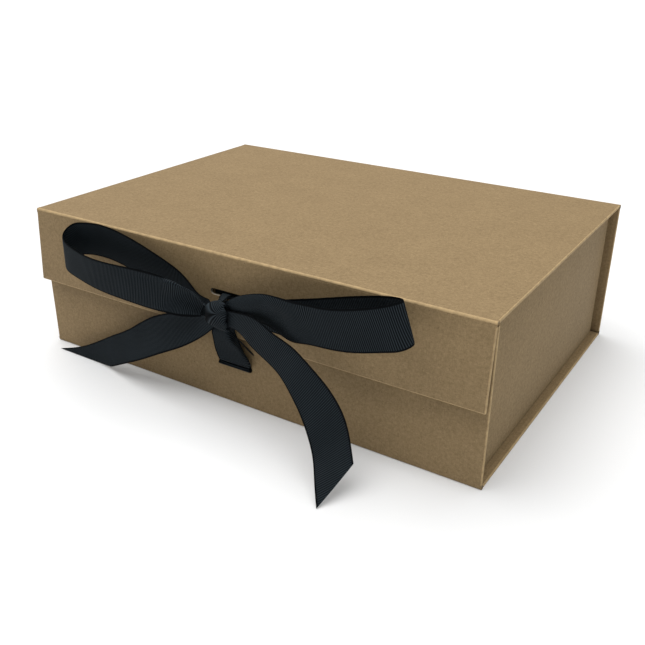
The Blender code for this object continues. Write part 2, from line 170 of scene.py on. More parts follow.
def kraft(name, light, dark, speck):
    """Kraft paper: soft clouding, long pulp fibres, dark flecks and a fine tooth, with painted highlight
    lightening the marked edges and fold crowns, partly rubbed wear.
    """
    n = Nodes(name)
    cloud = n.ramp(n.noise(n.place, 38.0, 4.0, 0.6), 0.3, 0.7)
    felt = n.ramp(n.noise(n.place, 560.0, 5.0, 0.78), 0.28, 0.72)
    along = n.noise(n.scaled((420.0, 2600.0, 2600.0)), 1.0, 3.0, 0.6, 0.6)
    across = n.noise(n.scaled((2600.0, 500.0, 500.0), (0.3, 0.2, 0.5)), 1.0, 3.0, 0.6, 0.6)
    fibre = n.ramp(n.math("ADD", along, across), 0.8, 1.2)
    tone = n.math("ADD", n.math("MULTIPLY", cloud, 0.10), n.math("MULTIPLY", felt, 0.55))
    tone = n.math("ADD", tone, n.math("MULTIPLY", fibre, 0.35))
    paper = n.mix(tone, dark, light)
    fleck = n.noise(n.scaled((1.0, 1.0, 1.3)), 1250.0, 1.0, 0.5, 0.8)
    spots = n.ramp(fleck, 0.70, 0.77, 0.0, 0.6)
    paper = n.mix(spots, paper, speck)
    # painted highlight: the marked edges and fold crowns are coloured lighter, partly rubbed wear
    wear_and_highlight = n.add("ShaderNodeAttribute", attribute_name="wear_and_highlight").outputs["Fac"]
    rub_and_highlight_mask = n.math("MULTIPLY", wear_and_highlight, n.ramp(n.noise(n.place, 260.0, 4.0, 0.7), 0.3, 0.62, 0.25, 0.9))
    paper = n.mix(rub_and_highlight_mask, paper, tuple(min(1.0, 1.42 * c) for c in light[:3]) + (1,))
    n.colour(paper)
    n.link(n.ramp(felt, 0.0, 1.0, 0.86, 0.72), n.shader.inputs["Roughness"])
    n.shader.inputs["Specular IOR Level"].default_value = 0.30
    height = n.math("ADD", n.math("MULTIPLY", felt, 0.6), n.math("MULTIPLY", fibre, 0.4))
    n.bump(height, 0.00003, 0.5)
    return n.material


def greyboard():
    """Cut greyboard: recycled grey-brown pulp in fine layers."""
    n = Nodes("greyboard")
    pulp = n.ramp(n.noise(n.place, 2200.0, 4.0, 0.7), 0.3, 0.7)
    layer = n.ramp(n.noise(n.scaled((300.0, 300.0, 5200.0)), 1.0, 2.0), 0.35, 0.65)
    n.colour(n.mix(n.math("MULTIPLY", n.math("ADD", pulp, layer), 0.5),
                   (0.20, 0.17, 0.13, 1), (0.42, 0.37, 0.30, 1)))
    n.shader.inputs["Roughness"].default_value = 0.92
    n.bump(pulp, 0.00006, 0.6)
    return n.material


def grosgrain():
    """Black ribbon yarn: a blue cast, with painted highlight on the rib crowns and painted shade deep in the
    grooves between them.
    """
    n = Nodes("grosgrain")
    rib = n.add("ShaderNodeAttribute", attribute_name="rise").outputs["Fac"]
    thread = n.ramp(n.noise(n.place, 5200.0, 2.0, 0.6), 0.3, 0.7)
    dye = n.ramp(n.noise(n.place, 55.0, 3.0), 0.3, 0.7)
    # painted light: rib crowns coloured lighter and grooves darker, as highlight and shade fall on them
    crown = n.math("POWER", rib, 2.4)
    yarn = n.math("ADD", n.math("MULTIPLY", thread, 0.30), n.math("MULTIPLY", dye, 0.14))
    tone = n.math("MULTIPLY", crown, n.math("ADD", yarn, 0.56))
    n.colour(n.mix(tone, (0.0012, 0.0018, 0.0024, 1), (0.0380, 0.0500, 0.0590, 1)))
    n.link(n.ramp(crown, 0.0, 1.0, 0.9, 0.5), n.shader.inputs["Roughness"])
    n.shader.inputs["Specular IOR Level"].default_value = 0.07
    n.bump(thread, 0.00003, 0.5)
    return n.material


def metal(name, colour, rough):
    """Plated steel with a fine brushed grain."""
    n = Nodes(name)
    grain = n.ramp(n.noise(n.scaled((900.0, 9000.0, 9000.0)), 1.0, 2.0), 0.3, 0.7)
    n.colour(n.mix(grain, tuple(0.85 * c for c in colour[:3]) + (1,), colour))
    n.shader.inputs["Metallic"].default_value = 1.0
    n.link(n.ramp(grain, 0.0, 1.0, rough, rough + 0.15), n.shader.inputs["Roughness"])
    n.bump(grain, 0.00001, 0.3)
    return n.material


def tape():
    """White double-sided tissue tape."""
    n = Nodes("tape")
    tissue = n.ramp(n.noise(n.place, 1600.0, 3.0, 0.6), 0.3, 0.7)
    n.colour(n.mix(tissue, (0.70, 0.69, 0.64, 1), (0.82, 0.81, 0.77, 1)))
    n.shader.inputs["Roughness"].default_value = 0.55
    n.bump(tissue, 0.00002, 0.4)
    return n.material


SPECK = (0.05, 0.028, 0.014, 1)
KRAFT = kraft("kraft", (0.335, 0.236, 0.120, 1), (0.162, 0.107, 0.050, 1), SPECK)
KRAFT_INSIDE = kraft("kraft_inside", (0.322, 0.227, 0.116, 1), (0.156, 0.103, 0.048, 1), SPECK)
GREYBOARD = greyboard()
GROSGRAIN = grosgrain()
MAGNET = metal("magnet", (0.66, 0.65, 0.62, 1), 0.22)
PLATE = metal("plate", (0.50, 0.50, 0.52, 1), 0.34)
TAPE = tape()


def paint(node, material):
    """Give a carried-over CAD node its material."""
    slots = NODES[node].material_slots
    if not slots:
        NODES[node].data.materials.append(material)
    for one in slots:
        one.material = material


# ---------------------------------------------------------------- mesh helpers
def link(name, mesh, material):
    obj = bpy.data.objects.new(name, mesh)
    bpy.context.scene.collection.objects.link(obj)
    mesh.materials.clear()
    mesh.materials.append(material)
    return obj


def box_mesh(low, high, rounded=None, radius=0.0):
    """A box in millimetres; the edges that rounded() picks get a fillet."""
    bm = bmesh.new()
    bmesh.ops.create_cube(bm, size=1.0)
    size = Vector(high) - Vector(low)
    middle = (Vector(high) + Vector(low)) / 2
    bmesh.ops.scale(bm, vec=size, verts=bm.verts)
    bmesh.ops.translate(bm, vec=middle, verts=bm.verts)
    if radius:
        edges = [e for e in bm.edges if rounded((e.verts[0].co + e.verts[1].co) / 2)]
        bmesh.ops.bevel(bm, geom=edges, offset=radius, segments=BEVEL_STEPS, profile=0.5, affect="EDGES")
    bmesh.ops.recalc_face_normals(bm, faces=bm.faces)
    mesh = bpy.data.meshes.new("box")
    bm.to_mesh(mesh)
    bm.free()
    return mesh


def stadium_mesh(long, tall, deep):
    """A slot-shaped prism, centred, standing on local Z."""
    radius = tall / 2
    reach = long / 2 - radius
    points = []
    for side in (1, -1):
        for step in range(SLOT_STEPS + 1):
            angle = math.pi * (step / SLOT_STEPS - 0.5)
            points.append((side * (reach + radius * math.cos(angle)), side * radius * math.sin(angle)))
    bm = bmesh.new()
    ends = [[bm.verts.new((x, y, z)) for x, y in points] for z in (-deep / 2, deep / 2)]
    bm.faces.new(ends[0][::-1])
    bm.faces.new(ends[1])
    for i in range(len(points)):
        j = (i + 1) % len(points)
        bm.faces.new((ends[0][i], ends[0][j], ends[1][j], ends[1][i]))
    bmesh.ops.recalc_face_normals(bm, faces=bm.faces)
    mesh = bpy.data.meshes.new("slot")
    bm.to_mesh(mesh)
    bm.free()
    return mesh


def cut(obj, mesh, place=Matrix.Identity(4)):
    """Take a closed mesh away from a piece."""
    tool = bpy.data.objects.new("tool", mesh)
    bpy.context.scene.collection.objects.link(tool)
    tool.matrix_world = place
    bpy.context.view_layer.update()
    mod = obj.modifiers.new("cut", "BOOLEAN")
    mod.operation, mod.solver, mod.object = "DIFFERENCE", "EXACT", tool
    graph = bpy.context.evaluated_depsgraph_get()
    made = bpy.data.meshes.new_from_object(obj.evaluated_get(graph))
    obj.modifiers.clear()
    obj.data = made
    bpy.data.objects.remove(tool, do_unlink=True)


def mark_rub_and_highlight(obj, where):
    """Mark the faces painted lighter in the kraft: painted highlight on rounded edges and fold crowns, with
    some rubbed wear.
    """
    wear_and_highlight = obj.data.attributes.new("wear_and_highlight", "FLOAT", "FACE")
    wear_and_highlight.data.foreach_set("value", [1.0 if where(face.center) else 0.0 for face in obj.data.polygons])


def settle(obj, place, angle=30):
    """Move a piece from its panel's millimetre frame into the row frame, smooth but for its corners."""
    obj.data.transform(Matrix.Scale(MM, 4) @ place)
    obj.matrix_world = Matrix.Identity(4)
    obj.data.shade_smooth()
    obj.data.set_sharp_from_angle(angle=math.radians(angle))
    return obj


def frame_from(origin, along, out):
    along, out = Vector(along).normalized(), Vector(out).normalized()
    side = along.cross(out)
    turn = Matrix((side, along, out)).transposed().to_4x4()
    return Matrix.Translation(Vector(origin)) @ turn


# ---------------------------------------------------------------- case
def wrap(prefix, width, length, place, body, free_edge=False, slot_at=None):
    """A panel's kraft skin with its corners turned over the board."""
    half = width / 2
    inner = CORE + BOARD + GLUE
    deep = inner + WRAP

    def outer_edge(middle):
        ends = abs(abs(middle.x) - half) < 0.01
        top = free_edge and abs(middle.y - length) < 0.01
        return ends or top

    obj = link(prefix + "_skin", box_mesh((-half, 0, -deep), (half, length, 0), outer_edge, EDGE_R), KRAFT)
    # the edges that meet a fold stay square
    bm = bmesh.new()
    bm.from_mesh(obj.data)
    for v in bm.verts:
        if not free_edge or v.co.y < length / 2:
            v.co.y = 0.0 if v.co.y < length / 2 else length
    bm.to_mesh(obj.data)
    bm.free()
    top = length - WRAP if free_edge else length + 1
    window_top = length - TURN_IN if free_edge else length + 1
    cut(obj, box_mesh((-half + WRAP, -1, -inner), (half - WRAP, top, -WRAP)))
    cut(obj, box_mesh((-half + TURN_IN, -1, -deep - 1), (half - TURN_IN, window_top, -inner / 2)))
    if slot_at is not None:
        cut(obj, stadium_mesh(SLOT_LONG, SLOT_TALL, 8), Matrix.Translation((0, slot_at, -PANEL / 2)))
    # the rounded ends and free edge are marked for painted highlight, with some rubbed wear
    mark_rub_and_highlight(obj, lambda c: abs(c.x) > half - RUB_AND_HIGHLIGHT_BAND or (free_edge and c.y > length - RUB_AND_HIGHLIGHT_BAND))
    settle(obj, place)
    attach(obj, body)
    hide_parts(prefix + "_wrap")


def fold(name, centre, start, sweep, body, creased=True):
    """A paper fold in section: a band that turns round the board's edge between two pressed creases."""
    section = []
    skin = WRAP + LINER
    for i in range(-FOLD_STRAIGHT, FOLD_STEPS + FOLD_STRAIGHT + 1):
        if i < 0:
            angle, flat = start, i / FOLD_STRAIGHT * SETBACK
        elif i > FOLD_STEPS:
            angle, flat = start + sweep, (i - FOLD_STEPS) / FOLD_STRAIGHT * SETBACK
        else:
            angle, flat = start + sweep * i / FOLD_STEPS, 0.0
        arc = FOLD_R * (angle - start) + flat
        radius = FOLD_R
        if creased:
            for at in (-CREASE_OFF, FOLD_R * sweep + CREASE_OFF):
                radius -= CREASE_DEEP * math.exp(-((arc - at) / CREASE_WIDE) ** 2)
        out = Vector((math.cos(angle), math.sin(angle)))
        on = Vector((-out.y, out.x))
        section.append((out * radius + on * flat, out * (min(radius, FOLD_R) - skin) + on * flat))
    xs = np.linspace(-WIDTH / 2, WIDTH / 2, FOLD_COLUMNS)
    wander = 0.035 * np.sin(xs * 0.61) + 0.03 * np.sin(xs * 1.73 + 1.1) + 0.02 * np.sin(xs * 4.1 + 0.4)
    rows = len(section)
    verts = []
    for x, shake in zip(xs, wander):
        for k, (outer, _) in enumerate(section):
            lift = shake if FOLD_STRAIGHT - 1 <= k <= rows - FOLD_STRAIGHT and creased else 0.0
            grown = outer * (1 + min(0.0, lift) * 0.35 / FOLD_R)
            verts.append((x, centre[0] + grown.x, centre[1] + grown.y))
        for _, inner in section[::-1]:
            verts.append((x, centre[0] + inner.x, centre[1] + inner.y))
    ring = 2 * rows
    faces = []
    for c in range(FOLD_COLUMNS - 1):
        for k in range(ring):
            n = (k + 1) % ring
            faces.append((c * ring + k, c * ring + n, (c + 1) * ring + n, (c + 1) * ring + k))
    for k in range(rows - 1):
        m = ring - 1 - k
        faces.append((k, m, m - 1, k + 1))
        last = (FOLD_COLUMNS - 1) * ring
        faces.append((last + k + 1, last + m - 1, last + m, last + k))
    mesh = bpy.data.meshes.new(name)
    mesh.from_pydata(verts, [], faces)
    bm = bmesh.new()
    bm.from_mesh(mesh)
    bmesh.ops.recalc_face_normals(bm, faces=bm.faces)
    bm.to_mesh(mesh)
    bm.free()
    obj = link(name + "_skin", mesh, KRAFT)
    # only the fold's upper outer quarter is marked: painted highlight where the overhead light falls, with
    # some rubbed wear
    mark_rub_and_highlight(obj, lambda c: creased and math.hypot(c.y - centre[0], c.z - centre[1]) > FOLD_R - 0.1
        and abs(c.y) > abs(centre[0]) and c.z > centre[1])
    settle(obj, Matrix.Identity(4), 60)
    if body:
        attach(obj, body)
    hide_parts(name)
    return obj


def build_case():
    start = WALL_Y + FOLD_R + SETBACK
    end = SPINE_AXIS[0] - SETBACK
    wrap("base", WIDTH, end - start, frame_from((0, start, 0), (0, 1, 0), (0, 0, -1)), "tray")
    start = FOLD_R + SETBACK
    front = frame_from((0, WALL_Y, start), (0, 0, 1), (0, -1, 0))
    wrap("front", WIDTH, WALL_TOP - start, front, "tray", True, FRONT_SLOT_Z - start)
    end = SPINE_AXIS[1] - SETBACK
    wrap("spine", WIDTH, end - start, frame_from((0, DEPTH / 2, start), (0, 0, 1), (0, 1, 0)), "tray")
    start, end = SPINE_AXIS[0] - SETBACK, FLAP_AXIS[0] + SETBACK
    wrap("lid", WIDTH, start - end, frame_from((0, start, HEIGHT), (0, -1, 0), (0, 0, 1)), "lid")
    axis = Matrix.Translation((0, FLAP_AXIS[0], FLAP_AXIS[1]))
    hang = frame_from((0, -FOLD_R, -SETBACK), (0, 0, -1), (0, -1, 0))
    place = axis @ Matrix.Rotation(-FLAP_LEAN, 4, "X") @ hang
    to_slot = (FLAP_AXIS[1] - FLAP_SLOT_Z) / math.cos(FLAP_LEAN) - SETBACK
    wrap("flap", WIDTH, FLAP_DROP - FOLD_R - SETBACK, place, "flap", True, to_slot)
    near, far = WALL_Y + PANEL + SIDE_GAP, DEPTH / 2 - PANEL - SIDE_BACK_GAP
    low, high = PANEL + SIDE_GAP, HEIGHT - PANEL - SIDE_GAP
    for prefix, sign in (("left_side", -1), ("right_side", 1)):
        at = frame_from((sign * (WIDTH / 2 - SIDE_INSET), (near + far) / 2, low), (0, 0, 1), (sign, 0, 0))
        wrap(prefix, far - near, high - low, at, "tray", True)
    fold("front_fold", (WALL_Y + FOLD_R, FOLD_R), math.pi, math.pi / 2, "tray", False)
    fold("back_fold", (DEPTH / 2 - FOLD_R, FOLD_R), -math.pi / 2, math.pi / 2, "tray", False)
    lid_fold = fold("lid_fold", SPINE_AXIS, 0.0, math.pi / 2, None)
    flap_fold = fold("flap_fold", FLAP_AXIS, math.pi / 2, math.pi / 2 - FLAP_LEAN, None)
    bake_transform(lid_fold)
    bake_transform(flap_fold)


def paint_nodes():
    """Materials for the CAD nodes that keep their shape."""
    for name in NODES:
        if name.endswith("_board"):
            paint(name, GREYBOARD)
        elif name.endswith("_liner"):
            paint(name, KRAFT_INSIDE)
        elif name.startswith(("tab_", "hinge_")):
            paint(name, KRAFT_INSIDE)
        elif name.startswith("tape_"):
            paint(name, TAPE)
        elif "magnet" in name:
            paint(name, MAGNET)
        elif "plate" in name:
            paint(name, PLATE)


# ---------------------------------------------------------------- ribbon
ACROSS = 33
ALONG = 1400
SPARE = 40.0
STATION = 0.25


def natural_spline(knots, values, at):
    """A natural cubic spline through rows of values."""
    count = len(knots)
    step = np.diff(knots)
    left = np.zeros((count, count))
    right = np.zeros_like(values)
    left[0, 0] = left[-1, -1] = 1.0
    for i in range(1, count - 1):
        left[i, i - 1:i + 2] = step[i - 1], 2 * (step[i - 1] + step[i]), step[i]
        right[i] = 6 * ((values[i + 1] - values[i]) / step[i] - (values[i] - values[i - 1]) / step[i - 1])
    bend = np.linalg.solve(left, right)
    k = np.clip(np.searchsorted(knots, at, side="right") - 1, 0, count - 2)
    wide = step[k][:, None]
    a, b = (knots[k + 1] - at)[:, None], (at - knots[k])[:, None]
    curve = (bend[k] * a ** 3 + bend[k + 1] * b ** 3) / (6 * wide)
    curve = curve + (values[k] / wide - bend[k] * wide / 6) * a
    return curve + (values[k + 1] / wide - bend[k + 1] * wide / 6) * b


def rounded(line, reach):
    """A creased line with its corners softened over reach samples."""
    ends = [2 * line[0] - line[reach * 2:0:-1], line, 2 * line[-1] - line[-2:-reach * 2 - 2:-1]]
    long = np.concatenate(ends)
    at = np.arange(-2 * reach, 2 * reach + 1)
    weight = np.exp(-0.5 * (at / reach) ** 2)
    weight /= weight.sum()
    out = np.stack([np.convolve(long[:, k], weight, mode="valid") for k in range(3)], axis=1)
    return out[:len(line)]


def across_row(points):
    """One line across the ribbon, evenly spaced from edge to edge."""
    pts = np.array(points, float)
    gaps = np.concatenate([[0], np.cumsum(np.linalg.norm(np.diff(pts, axis=0), axis=1))])
    fine = np.linspace(0, gaps[-1], 200)
    if isinstance(points, list) or len(pts) == 2:
        line = np.stack([np.interp(fine, gaps, pts[:, k]) for k in range(3)], axis=1)
    else:
        line = natural_spline(gaps, pts, fine)
    if isinstance(points, list):
        line = rounded(line, max(2, int(0.7 / (gaps[-1] / 200))))
    run = np.concatenate([[0], np.cumsum(np.linalg.norm(np.diff(line, axis=0), axis=1))])
    at = np.linspace(0, run[-1], ACROSS)
    return np.stack([np.interp(at, run, line[:, k]) for k in range(3)], axis=1)


def surface(rows):
    """A smooth sheet through lines across the ribbon, run on straight at both ends."""
    grid = np.stack([across_row(row) for row in rows])
    middle = grid.mean(axis=1)
    knots = np.concatenate([[0], np.cumsum(np.linalg.norm(np.diff(middle, axis=0), axis=1) ** 0.7)])
    at = np.linspace(0, knots[-1], ALONG)
    fine = natural_spline(knots, grid.reshape(len(rows), -1), at).reshape(ALONG, ACROSS, 3)
    head = fine[0] - fine[1]
    tail = fine[-1] - fine[-2]
    head *= SPARE / np.linalg.norm(head.mean(axis=0))
    tail *= SPARE / np.linalg.norm(tail.mean(axis=0))
    return np.concatenate([(fine[0] + head)[None], fine, (fine[-1] + tail)[None]])


class Lay:
    """Maps a flat ribbon onto a sheet.

    Its ribs run square to its middle line. slant leans them, and gather turns them towards the
    sheet's own rows, both as (place along, amount) pairs.
    """

    def __init__(self, rows, slant=None, gather=None):
        grid = surface(rows)
        step = np.linalg.norm(np.diff(grid, axis=0), axis=2)
        arc = np.concatenate([np.zeros((1, ACROSS)), np.cumsum(step, axis=0)])
        middle = ACROSS // 2
        arc -= arc[1, middle]
        self.length = arc[-2, middle]
        self.s = np.arange(-SPARE * 0.9, self.length + SPARE * 0.9, STATION)
        index = np.arange(len(grid), dtype=float)
        lean = np.zeros_like(self.s) if slant is None else np.interp(self.s, *zip(*slant))
        fan = np.zeros_like(self.s) if gather is None else np.interp(self.s, *zip(*gather))
        gap = RIBBON_W / (ACROSS - 1)
        self.points = np.zeros((len(self.s), ACROSS, 3))
        start = np.interp(self.s, arc[:, middle], index)
        rate = np.gradient(start, self.s)
        for way in (1, -1):
            t, j = start.copy(), middle
            while 0 <= j < ACROSS:
                here = self.at(grid, j, t)
                self.points[:, j] = here
                k = j + way
                if not 0 <= k < ACROSS:
                    break
                tangent = self.at(grid, j, t + 0.5) - self.at(grid, j, t - 0.5)
                tangent /= np.linalg.norm(tangent, axis=1)[:, None] + 1e-12
                over = np.sum((self.at(grid, k, t) - here) * tangent, axis=1)
                run = np.interp(t, index, arc[:, k])
                crossing = np.interp(run - over + lean * gap * way, arc[:, k], index)
                t = crossing * (1 - fan) + (t + lean * gap * way * rate) * fan
                j = k
        along = np.gradient(self.points, axis=0)
        across = np.gradient(self.points, axis=1)
        normal = np.cross(along, across)
        self.normals = normal / (np.linalg.norm(normal, axis=2)[..., None] + 1e-12)

    @staticmethod
    def at(grid, j, t):
        base = np.clip(np.floor(t).astype(int), 0, len(grid) - 2)
        part = np.clip(t - base, 0, 1)[:, None]
        return grid[base, j] * (1 - part) + grid[base + 1, j] * part

    def reaches(self, side, height):
        """Where along the ribbon an edge comes down to a height."""
        z = self.points[:, 0 if side < 0 else -1, 2]
        past = np.where((z[1:] <= height) & (z[:-1] > height))[0]
        return float(self.s[past[0] + 1])

    def place(self, flat):
        """Flat (s, w, h) points to the row frame, in millimetres."""
        a = np.clip((flat[:, 0] - self.s[0]) / STATION, 0, len(self.s) - 1.001)
        b = np.clip((flat[:, 1] / RIBBON_W + 0.5) * (ACROSS - 1), 0, ACROSS - 1.001)
        i, j = a.astype(int), b.astype(int)
        u, v = (a - i)[:, None], (b - j)[:, None]
        out = []
        for table in (self.points, self.normals):
            out.append((table[i, j] * (1 - u) + table[i + 1, j] * u) * (1 - v)
                       + (table[i, j + 1] * (1 - u) + table[i + 1, j + 1] * u) * v)
        normal = out[1] / (np.linalg.norm(out[1], axis=1)[:, None] + 1e-12)
        return out[0] + normal * flat[:, 2:3]


RIB_SHAPE = ((0.0, 0.0), (0.22, 0.55), (0.5, 1.0), (0.78, 0.55))


def flat_ribbon(start, end):
    """A flat length of grosgrain in (along, across, up): ribs on both faces between smooth selvedges."""
    half = RIBBON_W / 2
    inside = half - SELVEDGE
    edge = [half, half - 0.06, half - 0.25, half - 0.5, inside, inside - RIB_END]
    middle = list(np.linspace(inside - RIB_END, -(inside - RIB_END), 21)[1:-1])
    across = np.array([-x for x in edge] + middle[::-1] + edge[::-1])
    ribs = int(math.ceil((end - start) / RIB_PITCH))
    stations = [start + (i + at) * RIB_PITCH for i in range(ribs) for at, _ in RIB_SHAPE]
    along = np.array(stations + [start + ribs * RIB_PITCH])
    rise = np.array([high for _ in range(ribs) for _, high in RIB_SHAPE] + [0.0])
    inset = np.clip((half - np.abs(across)) / SELVEDGE, 0, None)
    field = np.clip((half - np.abs(across) - SELVEDGE) / RIB_END, 0, 1)
    bead = np.where(inset < 1, np.sqrt(np.clip(1 - (1 - inset / 0.6).clip(0, 1) ** 2, 0, 1)), 1.0)
    height = RIBBON_HALF * bead[None] + RIB_HIGH * rise[:, None] * field[None]
    height = np.maximum(height + 0.03 * (1 - field[None]) * bead[None], THINNEST)
    grid = np.zeros((len(along), len(across), 3))
    grid[..., 0], grid[..., 1], grid[..., 2] = along[:, None], across[None], height
    under = grid * np.array([1, 1, -1])
    rows, columns = height.shape
    verts = np.concatenate([grid.reshape(-1, 3), under.reshape(-1, 3)])
    i, j = np.meshgrid(np.arange(rows - 1), np.arange(columns - 1), indexing="ij")
    a = (i * columns + j).ravel()
    quads = np.stack([a, a + columns, a + columns + 1, a + 1], axis=1)
    back = quads[:, ::-1] + rows * columns
    under_at = rows * columns
    sides = []
    for c in (0, columns - 1):
        r = np.arange(rows - 1) * columns + c
        q = np.stack([r, r + under_at, r + columns + under_at, r + columns], axis=1)
        sides.append(q if c == 0 else q[:, ::-1])
    for r in (0, rows - 1):
        c = np.arange(columns - 1) + r * columns
        q = np.stack([c, c + 1, c + 1 + under_at, c + under_at], axis=1)
        sides.append(q if r == 0 else q[:, ::-1])
    return verts, np.concatenate([quads, back] + sides)


def ribbon(name, rows, body, cad, start=0.0, trim=None, slant=None, gather=None):
    """One length of ribbon laid on its rows; trim is a diagonal cut from one edge's height to the other's."""
    lay = Lay(rows, slant, gather)
    stop = lay.length
    if trim:
        trim = [(lay.reaches(side, z), side * RIBBON_W / 2) for side, z in zip((-1, 1), trim)]
        stop = max(at for at, _ in trim) + 2 * RIB_PITCH
    verts, faces = flat_ribbon(start, stop)
    mesh = bpy.data.meshes.new(name)
    mesh.from_pydata(verts.tolist(), [], faces.tolist())
    bm = bmesh.new()
    bm.from_mesh(mesh)
    rise = bm.verts.layers.float.new("rise")
    for v in bm.verts:
        v[rise] = min(1.0, max(0.0, (abs(v.co.z) - RIBBON_HALF) / RIB_HIGH))
    if trim:
        (s0, w0), (s1, w1) = trim
        point = Vector((s0, w0, 0))
        way = Vector((s1 - s0, w1 - w0, 0)).normalized()
        normal = Vector((way.y, -way.x, 0))
        if normal.x < 0:
            normal.negate()
        geom = bm.verts[:] + bm.edges[:] + bm.faces[:]
        done = bmesh.ops.bisect_plane(bm, geom=geom, plane_co=point, plane_no=normal, clear_outer=True)
        rim = [g for g in done["geom_cut"] if isinstance(g, bmesh.types.BMEdge)]
        bmesh.ops.holes_fill(bm, edges=rim, sides=0)
    bm.verts.ensure_lookup_table()
    flat = np.array([v.co[:] for v in bm.verts])
    placed = lay.place(flat) * MM
    placed[:, 2] = np.maximum(placed[:, 2], FLOOR_CLEAR)
    for v, p in zip(bm.verts, placed):
        v.co = p
    bmesh.ops.triangulate(bm, faces=[f for f in bm.faces if len(f.verts) > 4])
    bmesh.ops.recalc_face_normals(bm, faces=bm.faces)
    bm.to_mesh(mesh)
    bm.free()
    obj = link(name, mesh, GROSGRAIN)
    mesh.shade_smooth()
    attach(obj, body)
    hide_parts(cad)


LEFT_LOOP = (
    ((-5.1, -125, 74.5), (-7.2, -125, 65.2)),
    ((-15.9, -123.5, 75), (-18.6, -122.5, 60.3)),
    ((-23.5, -122.5, 79.5), (-34.5, -119.8, 60.5)),
    ((-31.7, -122.5, 85.9), (-44.5, -119.2, 65.6)),
    ((-48, -123, 93), (-56.1, -119.6, 70.4)),
    ((-73.7, -123.5, 101), (-79.2, -120, 77.7)),
    ((-96.3, -124, 104.3), (-99.8, -120.5, 80.6)),
    ((-108, -125.5, 103.7), (-113.7, -121.5, 79.7)),
    ((-116.3, -128.5, 101.9), (-122.7, -124, 76.8)),
    ((-117.9, -135, 97.2), (-124.8, -130, 72.7)),
    ((-103.3, -141.5, 92.7), (-109.7, -136, 69.6)),
    ((-81.8, -144, 90.5), (-87.8, -139, 67.3)),
    ((-56.1, -142.5, 90.3), (-62.6, -140, 66.2)),
    ((-33.5, -139, 88.9), (-40.2, -138.5, 64.8)),
    ((-23.6, -135.0, 84.2), (-22.6, -138.0, 86.4), (-26.7, -136.5, 78.3), (-29.4, -138.0, 64.9)),
    ((-18.3, -131.5, 79.1), (-16.5, -136.5, 84.1), (-23.2, -132.5, 74.5), (-24.6, -134.5, 69.7),
     (-24.2, -136.0, 64.0)),
    ((-12.4, -129.0, 74.5), (-9.7, -135.5, 81.5), (-17.2, -129.5, 71.6), (-17.6, -131.5, 68.3),
     (-15.4, -134.0, 64.7)),
    ((-7.0, -128.0, 70.3), (-4.6, -133.5, 75.8), (-10.5, -129.0, 68.2), (-10.5, -130.0, 67.0),
     (-8.1, -132.0, 66.1)),
)
RIGHT_LOOP = (
    ((8.9, -130, 78.8), (11.9, -131, 78), (11.2, -129.5, 74.2), (9.8, -127, 70.9)),
    ((18.5, -132.5, 85.4), (24.6, -135, 83.8), (24.9, -133, 77.7), (23.3, -128.5, 71.5)),
    ((32.2, -135.5, 91.4), (38.1, -138, 89.4), (40, -135.5, 83), (38.5, -131, 72.1)),
    ((45.3, -138.5, 95.1), (50.9, -140, 92.1), (52.5, -138, 83.6), (48.4, -132.5, 69.8)),
    ((60, -141, 96.4), (62.2, -141.5, 91.5), (61.7, -140, 81.5), (58.4, -135.5, 69.2)),
    ((72, -143, 97.8), (72.2, -142.4, 88.6), (70.5, -139, 72.4)),
    ((83.9, -144.5, 99.2), (83.7, -141, 74.4)),
    ((100.1, -145, 102.8), (101.4, -141.5, 77.2)),
    ((114, -143.5, 106.9), (117.6, -140, 81.3)),
    ((121.5, -140.5, 109.4), (127, -138, 84.3)),
    ((124.1, -136.5, 110.2), (130.4, -134, 86.8)),
    ((117.8, -131.5, 108.6), (121.8, -128, 84.2)),
    ((106.3, -128.5, 105.5), (109.6, -124, 78.5)),
    ((88.6, -126, 100), (95.9, -122, 76.6)),
    ((66.7, -124.5, 93.1), (73.9, -120.5, 69.7)),
    ((40.7, -123, 85.3), (47.7, -119.3, 61.8)),
    ((20.4, -122.5, 78.8), (19.7, -120.5, 63.3)),
    ((6.2, -125, 75.7), (6.4, -125, 66.1)),
)
LEFT_TAIL = (
    ((-7.8, -131.5, 67.2), (-0.3, -130.5, 60.4)),
    ((-19.2, -130, 65.2), (-7.6, -131, 53.7)),
    ((-35.8, -128, 60.1), (-22.4, -133, 43.2)),
    ((-57, -126, 50.6), (-41.3, -134, 33.1)),
    ((-78.3, -124.5, 36.4), (-62.3, -133, 21.7)),
    ((-98, -123.5, 25.4), (-84.5, -129.5, 10.3)),
    ((-116.7, -123, 14.8), (-97.5, -126, 3.4)),
    ((-134.5, -122.6, 6.5), (-103.0, -123.5, 1.1)),
    ((-152.7, -122.3, 0.4), (-106.0, -122.4, 0.3)),
)
RIGHT_TAIL = (
    ((7.4, -131.6, 74.4), (7.6, -131, 63.6)),
    ((19.8, -134.2, 76.5), (19.4, -134, 64.7)),
    ((34.9, -137.6, 78.3), (30.4, -137.2, 60.4)),
    ((49.4, -141, 74.7), (43.6, -141.5, 57)),
    ((62.6, -142, 70.4), (56.6, -146, 53.3)),
    ((74.8, -143.1, 63.2), (67.5, -151, 47.1)),
    ((85.9, -142.7, 53.4), (76.3, -154.5, 38.7)),
    ((94.1, -142.1, 42.2), (83.1, -157.5, 29.3)),
    ((99.5, -142.8, 30.5), (87.3, -159.2, 18.7)),
    ((107, -149.5, 16.2), (93.4, -166.8, 9.8)),
    ((114.5, -156.5, 3.5), (99.5, -174.1, 0.3)),
)
